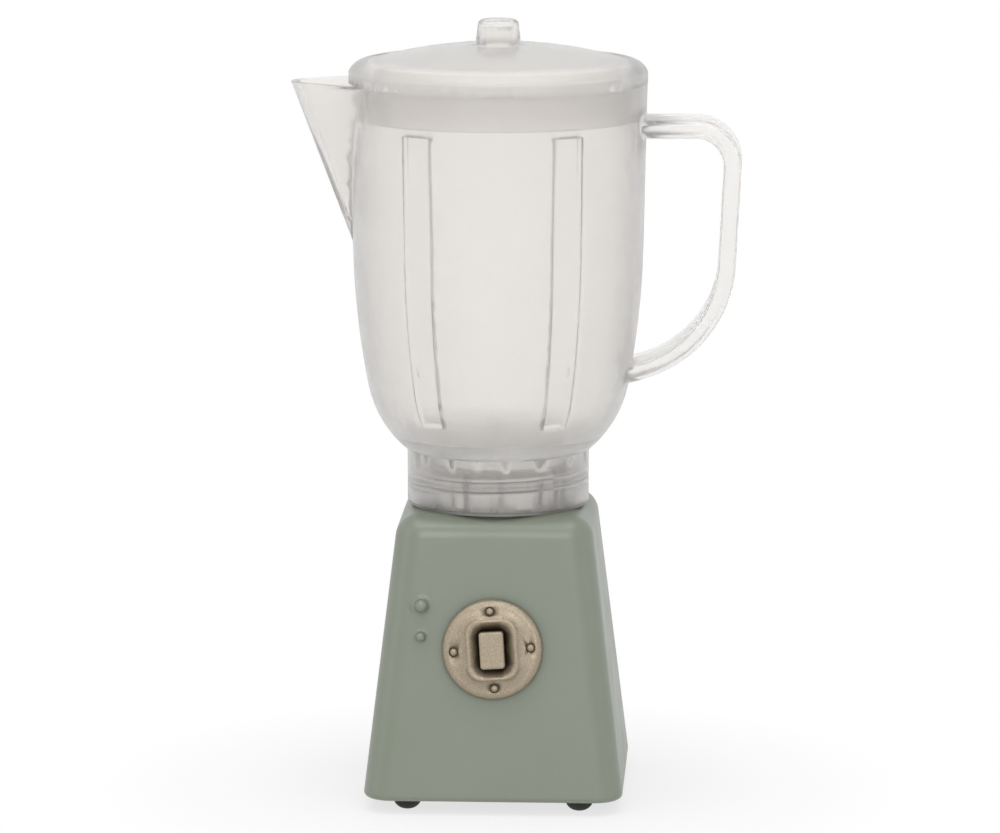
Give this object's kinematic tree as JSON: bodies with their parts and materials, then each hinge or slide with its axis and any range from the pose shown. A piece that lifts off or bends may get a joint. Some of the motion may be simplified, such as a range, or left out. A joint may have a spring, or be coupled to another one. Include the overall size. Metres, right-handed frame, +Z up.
{
  "type": "toy blender",
  "caption": "Doll's-house toy blender: a clear lidded jug with spout and handle that screws onto a tapered cast base with a turning dial and push button.",
  "frame": {"origin": "on the resting surface, on the jug's axis, midway between the four feet", "axes": "+Z up along the jug's axis, +X towards the handle, -Y towards the dial on the front"},
  "size_m": [0.0518, 0.0344, 0.09],
  "materials": {
    "green_paint": "gloss",
    "bronze_paint": "metallic satin",
    "clear_plastic": "gloss",
    "clear_silicone": "satin",
    "dark_rubber": "satin",
    "black_plastic": "matte",
    "zinc_steel": "satin",
    "spring_steel": "satin"
  },
  "bodies": {
    "base": {"housing": "green_paint", "bottom_plate": "black_plastic", "bottom_screws": "zinc_steel", "foot_front_left": "dark_rubber", "foot_front_right": "dark_rubber", "foot_rear_left": "dark_rubber", "foot_rear_right": "dark_rubber", "spigot": "clear_plastic", "spigot_push_nut": "spring_steel"},
    "dial": {"dial_plate": "bronze_paint", "dial_rivets": "bronze_paint", "dial_spring_washer": "spring_steel", "dial_push_nut": "spring_steel"},
    "button": {"switch_button": "bronze_paint", "button_spring": "spring_steel", "button_push_nut": "spring_steel"},
    "skirt_seal": {"skirt_washer": "clear_silicone"},
    "jug": {"jug": "clear_plastic"},
    "lid": {"lid": "clear_plastic"}
  },
  "joints": [
    {"name": "jug_rise", "type": "slide", "parent": "base", "child": "skirt_seal", "axis": [0, 0, 1], "range_m": [0, 0.0039]},
    {"name": "jug_turn", "type": "hinge", "parent": "skirt_seal", "child": "jug", "pos_m": [0, 0, 0.0363], "axis": [0, 0, 1], "range_deg": [0, 1170]},
    {"name": "lid_lift", "type": "slide", "parent": "jug", "child": "lid", "axis": [0, 0, 1], "range_m": [0, 0.02]},
    {"name": "dial_turn", "type": "hinge", "parent": "base", "child": "dial", "pos_m": [0, -0.01285, 0.0191], "axis": [0, -0.993, 0.1184], "continuous": true},
    {"name": "button_press", "type": "slide", "parent": "dial", "child": "button", "axis": [0, 0.993, -0.1184], "range_m": [0, 0.0005], "stiffness_N_per_m": 100, "springref_m": -0.0003, "deforming": ["button_spring"]}
  ],
  "couplings": [
    {"joint": "jug_rise", "follows": "jug_turn", "m_per_rad": 0.00019099}
  ]
}
